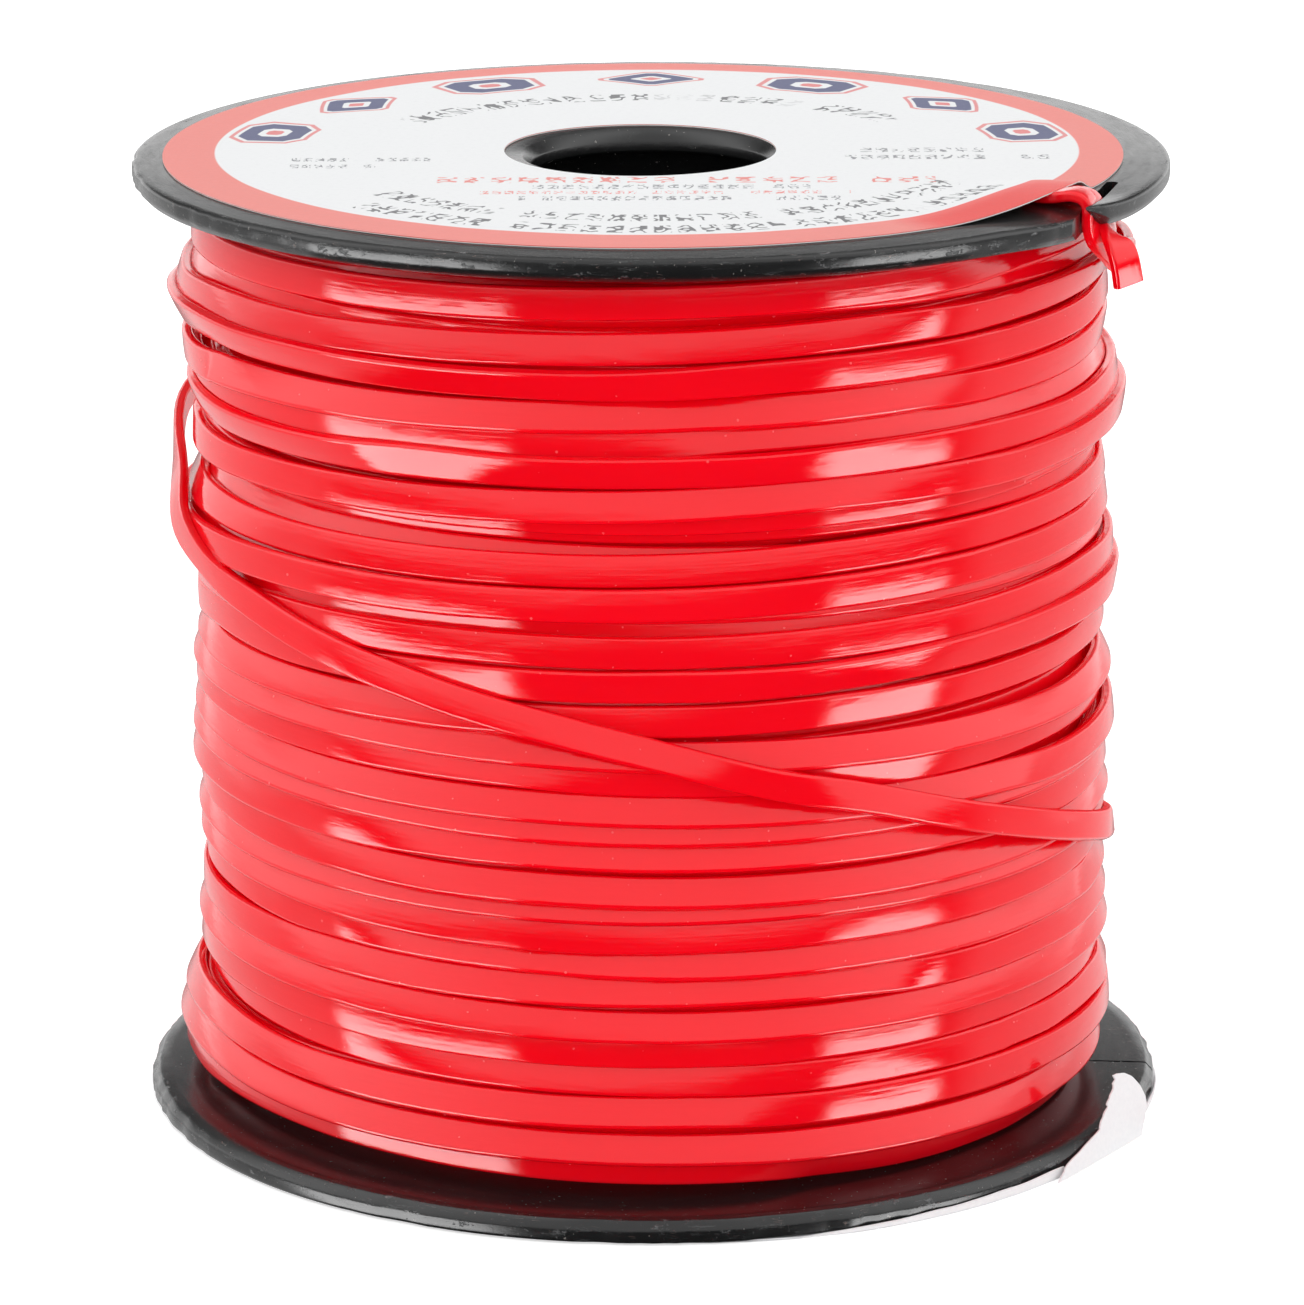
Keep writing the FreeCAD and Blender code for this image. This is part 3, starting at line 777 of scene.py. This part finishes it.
# Flanges: the slit leaves a thin horn beside it, tapered and bent up a little at its tip
section = flange_profile()
fine = np.concatenate([np.arange(48, 78, 0.5), np.arange(78, 408, 1.5)])
over = section[::-1] * [1, -1] + [0, TOP_FACE]
top_flange = turned("top_flange_moulding", over, fine, plastic)
wear(top_flange, 5, 0.15)
closed = [by_slit(SLIT_DEPTH - SLIT_HALF * (1 - math.sin(t)), SLIT_HALF * math.cos(t), 0)[:2]
          for t in np.linspace(0, math.pi, 9)]
slot = [by_slit(-6, -SLIT_HALF, 0)[:2]] + closed[::-1] + [by_slit(-6, SLIT_HALF, 0)[:2]]
cut(top_flange, prism("slot", slot, TOP_FACE - 3, TOP_FACE + 1))
place = get_places(top_flange)
from_mouth = (place - MOUTH) @ ALONG
across = (place - MOUTH) @ INWARD
round_by = azimuth_of(place)
plate = place[:, 2] > HIGH - 0.1
horn = plate & (across < -0.3) & (from_mouth < 10.2) & (round_by > 50) & (round_by < 76)
thin = np.clip((round_by - 53.9) / 5.0, 0.08, 1.0) ** 0.8
bent_up = 0.38 * (1 - smoothstep(-1.0, 7.5, from_mouth)) ** 1.5
place[horn, 2] = (TOP_FACE - (TOP_FACE - place[:, 2]) * thin + bent_up)[horn]
place[horn] += np.outer(0.36 * (1 - smoothstep(-1.2, 1.6, from_mouth[horn])), INWARD)
corner = plate & (across > 0.3) & (from_mouth < 3) & (round_by > 38)
droop = smoothstep(39, 51, round_by) * smoothstep(34, 38.5, np.hypot(*place[:, :2].T))
place[corner, 2] -= 0.22 * droop[corner]
set_places(top_flange, place)
under = section + [0, LOW - 1.7]
bottom_flange = turned("bottom_flange_moulding", under, np.arange(0, 360, 1.25), plastic)
wear(bottom_flange, 9, 0.15)
HAIRLINE = 85.0                  # azimuth of the bottom flange's hairline slit
hair = [outward(HAIRLINE)[:2] * r + outward(HAIRLINE + 90.0)[:2] * w
        for r, w in ((34.0, -0.12), (42.0, -0.15), (42.0, 0.15), (34.0, 0.12))]
cut(bottom_flange, prism("hair", hair, -1, LOW + 1))
for obj, node in ((top_flange, "top_flange"), (bottom_flange, "bottom_flange")):
    obj.data.polygons.foreach_set("use_smooth", [True] * len(obj.data.polygons))
    obj.data.update()
    obj.data.set_sharp_from_angle(angle=math.radians(38))
    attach(obj, "spool")
    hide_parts(node)

# The wound lace
winding, ends, origin, bedding = wind()
obj = inner_pack("wound_lace_inner", bedding, level_radius("core_tube") + 0.1, lace)
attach(obj, "spool")
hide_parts("lace_inner_layers")
starts = [0] + ends[:-1]
for pieces, node in (((0,), "lace_inner_layers"), ((1,), "lace_outer_layer"), ((2, 3), "lace_top_layer"),
                     ((4,), "lace_last_turn")):
    for piece in pieces:
        samples = np.arange(starts[piece], min(ends[piece] + 2, len(winding[0])))
        lift = None
        if node == "lace_last_turn":
            turned_by = (origin - samples) * 360.0 / TURN
            lift = np.exp(-((turned_by - 262) / 13.0) ** 2) + 0.6 * smoothstep(100, 80, turned_by)
        obj = wound_strip("wound_lace_%d" % piece, samples, winding, origin, lace, lift)
        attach(obj, "spool")
        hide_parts(node)

# The lace through the slit, and its free end
points = [outward(80.0) * 36.3 + UP * 66.5, outward(74.0) * 36.4 + UP * 66.8, np.array([34.0, -13.2, 67.9]),
          np.array([33.3, -17.0, 69.3]), np.array([32.3, -19.6, 70.7]), by_slit(1.6, 0, 71.9),
          by_slit(1.6, 0, 72.9), by_slit(1.65, 0.35, 73.5), by_slit(1.7, 1.1, 73.75), by_slit(1.9, 2.1, 73.6),
          by_slit(2.1, 3.2, 73.45), by_slit(3.1, 4.0, 73.4), by_slit(4.1, 3.1, 73.35),
          by_slit(4.4, 1.8, 73.3), by_slit(4.4, 0.55, 73.05), by_slit(4.4, 0, 72.4), by_slit(4.35, 0, 72.0)]
facing = [outward(80.0), outward(74.0), outward(70.0), outward(66.0), outward(66.0), -INWARD,
          -INWARD + 0.2 * UP, UP - 0.6 * INWARD] + [UP] * 6
facing += [UP - 0.5 * INWARD, -INWARD + 0.3 * UP, -INWARD]
loop = ribbon("slit_loop", points, facing, 190, lace)
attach(loop, "spool")
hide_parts("lace_slot_loop")

points = [by_slit(4.35, 0, 72.0), by_slit(4.35, -0.1, 71.3), np.array([33.15, -19.1, 70.8]),
          np.array([33.85, -20.1, 70.05]), np.array([34.3, -20.4, 69.0]), np.array([34.65, -20.25, 67.15])]
facing = [-INWARD, outward(68.0), outward(54.0), outward(43.0), outward(36.0), outward(31.0)]
tail = ribbon("tail", points, facing, 70, lace)
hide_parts("lace_tail_end")
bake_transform(tail)

# Top label
PAPER = 0.12
LABEL_RADIUS = 36.15
COLUMNS = 360                    # vertices round a label
azimuth = np.arange(COLUMNS) * 360.0 / COLUMNS


def circle(x, y, radius):
    """Points round a circle, one for each column of a label."""
    theta = np.radians(azimuth)
    return np.stack([x + radius * np.sin(theta), y - radius * np.cos(theta)], axis=-1)


def between(inside, outside, rows):
    """Grid of points from one closed line to another."""
    share = np.linspace(0, 1, rows)[:, None, None]
    return inside[None] * (1 - share) + outside[None] * share


def label_lift(xy):
    """The lace loop under the label lifts its edge at the front right."""
    round_by = azimuth_of(xy)
    out = np.hypot(xy[..., 0], xy[..., 1])
    rise = smoothstep(36, 57, round_by) * (1 - smoothstep(62.0, 67.0, round_by))
    return rise * (0.8 * smoothstep(26.5, 33, out) + 0.2 * smoothstep(32, 36.5, out))


edge_radius = LABEL_RADIUS + 0.45 * np.exp(-((azimuth - 50) / 9.0) ** 2)
flat = between(circle(-0.8, 0.8, 10.25), circle(-0.6, 1.0, edge_radius), 49)
ripple = 0.02 * np.sin(flat[..., 0] * 0.31 + 1.0) * np.sin(flat[..., 1] * 0.27)
height = TOP_FACE + label_lift(flat) + 0.02 + np.abs(ripple)
top = np.concatenate([flat, (height + PAPER)[..., None]], axis=-1)
bottom = np.concatenate([flat, height[..., None]], axis=-1)
label = sheet("top_label_sheet", top, bottom, True, printed, flat.reshape(-1, 2))
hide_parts("top_label", "top_label_flap")
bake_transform(label)

# Bottom label: it sits off centre, and where it overhangs the rim its edge is turned up
FLAT_ROWS, TURNED_ROWS = 13, 4   # rows of vertices on the flat part and up the turned edge
PLAIN = 0.11                     # thickness of the plain label
edge_radius = LABEL_RADIUS + 0.05 * np.sin(azimuth * 0.9) * np.sin(azimuth * 0.37)
edge = circle(3.0, -2.0, edge_radius)
edge *= np.minimum(1, (RIM + 0.08) / np.hypot(*edge.T))[:, None]
flat = between(circle(3.0, -2.0, 12.7), edge, FLAT_ROWS)
round_by = azimuth_of(edge)
ragged = 1 + 0.06 * smooth_noise(COLUMNS, 2.5, np.random.default_rng(8))
turn_up = 0.85 * np.clip((round_by - 15) / 35, 0, 1) ** 0.6 * (1 - smoothstep(51.5, 53, round_by))
turn_up += 0.7 * smoothstep(67.5, 69, round_by) * (1 - smoothstep(74, 92, round_by))
steps = np.linspace(1 / TURNED_ROWS, 1, TURNED_ROWS)[:, None]
flat = np.concatenate([flat, edge[None] * (1 + 0.0012 * steps[..., None])])
low = 0.005 + np.concatenate([np.zeros((FLAT_ROWS, COLUMNS)), (turn_up * ragged)[None] * steps])
outer = edge[None] / np.hypot(*edge.T)[:, None] * PLAIN
skin = np.concatenate([np.zeros((FLAT_ROWS, COLUMNS, 2)), np.repeat(outer, TURNED_ROWS, axis=0)])
thick = np.concatenate([np.full((FLAT_ROWS, COLUMNS), PLAIN), np.full((TURNED_ROWS, COLUMNS), 0.03)])
top = np.concatenate([flat, (low + thick)[..., None]], axis=-1)
bottom = np.concatenate([flat + skin, low[..., None]], axis=-1)
obj = sheet("bottom_label_sheet", top, bottom, True, paper, flat.reshape(-1, 2))
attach(obj, "spool")
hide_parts("bottom_label")

# Its torn flap, folded up outside the rim
FLAP_AT = 57.0                   # azimuth of the flap's middle
up = np.linspace(0.0, 5.7, 30)
left = np.interp(up, [0.0, 1.1, 1.4, 2.2, 3.7, 5.1, 5.7], [-5.5, -3.6, -1.5, 1.2, 2.8, 3.9, 4.05])
right = np.interp(up, [0.0, 1.0, 2.0, 3.0, 4.0, 5.0, 5.5, 5.7], [7.3, 7.9, 8.0, 7.7, 7.1, 6.1, 5.2, 4.3])
tear = np.random.default_rng(4)
rough = blur(tear.normal(size=len(up)), 0.8) + 0.5 * tear.normal(size=len(up))
left = left + 0.22 * rough * smoothstep(0, 1.0, up)
right = np.maximum(right, left + 0.15)
across = left[:, None] + (right - left)[:, None] * np.linspace(0, 1, 26)[None]
rise = up[:, None] + np.zeros_like(across)
lean = math.radians(10.0)
curl = 0.35 * smoothstep(1.0, 7.0, rise) + 0.5 * smoothstep(2.0, 9.0, across) * smoothstep(0.3, 3.0, rise)
out = outward(FLAP_AT)
side = outward(FLAP_AT + 90.0)
face = out * math.cos(lean) + UP * math.sin(lean)
stand = UP * math.cos(lean) - out * math.sin(lean)
grid = out * 39.5 + side * across[..., None] + stand * (rise[..., None] + 0.1) + face * curl[..., None]
uvs = np.stack([across, rise], axis=-1).reshape(-1, 2)
obj = sheet("torn_flap", grid + face * PAPER / 2, grid - face * PAPER / 2, False, paper, uvs)
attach(obj, "bottom_label_tear")
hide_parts("bottom_label_flap")

# ---------------------------------------------------------------------------
# Floor, light and camera
# ---------------------------------------------------------------------------
mesh = bpy.data.meshes.new("floor")
mesh.from_pydata([(-3, -3, 0), (3, -3, 0), (3, 3, 0), (-3, 3, 0)], [], [(0, 1, 2, 3)])
floor = bpy.data.objects.new("floor", mesh)
bpy.context.scene.collection.objects.link(floor)
floor_material, g, shader = new_material("floor")
shader.inputs["Base Color"].default_value = (0.9, 0.9, 0.9, 1)
shader.inputs["Roughness"].default_value = 1.0
shader.inputs["Specular IOR Level"].default_value = 0.0
shader.inputs["Emission Color"].default_value = (1, 1, 1, 1)
seen_directly = g.nodes.new("ShaderNodeLightPath").outputs["Is Camera Ray"]
g.put(shader.inputs["Emission Strength"], g.math("MULTIPLY", seen_directly, 0.5))
mesh.materials.append(floor_material)
floor.visible_glossy = False

world = bpy.data.worlds.new("studio")
bpy.context.scene.world = world
world.use_nodes = True
g = Graph(world.node_tree)
background = world.node_tree.nodes["Background"]
dx, dy, dz = g.split(g.nodes.new("ShaderNodeTexCoord").outputs["Generated"])
elevation = g.math("MULTIPLY", g.math("ARCSINE", dz), 180 / math.pi)
bearing = g.math("MULTIPLY", g.math("ARCTAN2", dx, g.math("MULTIPLY", dy, -1.0)), 180 / math.pi)


def card(left, right, low, high, strength, soft=2.5):
    """Softbox inside a range of bearing and elevation, in degrees."""
    return g.math("MULTIPLY", g.math("MULTIPLY", g.band(bearing, left, right, soft),
                                     g.band(elevation, low, high, soft)), strength)


def choose(share, first, second):
    """First where share is 1, second where it is 0."""
    return g.math("ADD", g.math("MULTIPLY", share, first),
                  g.math("MULTIPLY", g.math("SUBTRACT", 1.0, share), second))


# What the gloss reflects: a bright wall on the camera's side; beyond the object a dim one with a low strip
# and a ceiling; pale light from below at the sides; and two low softboxes in front
sideways = g.math("ABSOLUTE", bearing)
near_side = g.math("ADD", 1.1, g.math("MULTIPLY", g.ramp(sideways, 20, 95), 0.9))
near_side = g.math("MULTIPLY", g.ramp(elevation, -3, 10), near_side)
ceiling = g.math("MULTIPLY", g.ramp(elevation, 25, 55), 0.85)
far_side = g.math("ADD", card(-400, 400, -2, 14.5, 1.25, 1.5), ceiling)
far_side = g.math("ADD", far_side, 0.14)
seen = choose(g.ramp(sideways, 95, 140), far_side, near_side)
fill = g.math("MULTIPLY", g.band(sideways, 84, 168, 10.0), g.band(elevation, -48, 0, 4.0))
seen = g.math("ADD", seen, g.math("MULTIPLY", fill, 0.8))
seen = g.math("ADD", seen, g.math("ADD", card(-86, -36, -36, -8, 8.5), card(45, 76, -36, -8, 8.5)))
# Everything else is lit evenly, less from above, and the camera itself sees plain white
lit = g.math("SUBTRACT", 1.36, g.math("MULTIPLY", g.ramp(elevation, 10, 70), 0.5))
path = g.nodes.new("ShaderNodeLightPath")
strength = choose(path.outputs["Is Glossy Ray"], seen, lit)
g.put(background.inputs["Strength"], choose(path.outputs["Is Camera Ray"], 1.0, strength))
background.inputs["Color"].default_value = (1, 1, 1, 1)

camera_data = bpy.data.cameras.new("camera")
camera = bpy.data.objects.new("camera", camera_data)
bpy.context.scene.collection.objects.link(camera)
camera_data.sensor_fit = "VERTICAL"
camera_data.sensor_height = 36.0
camera_data.sensor_width = 36.0
camera_data.lens = 181.78207
camera_data.clip_start = 0.01
camera_data.clip_end = 20
camera.location = Vector((0.473, -488.292, 168.01)) * MM
camera.rotation_euler = (math.radians(74.648), math.radians(0.129), math.radians(0.02))
bpy.context.scene.camera = camera
bpy.context.scene.view_settings.view_transform = "Standard"
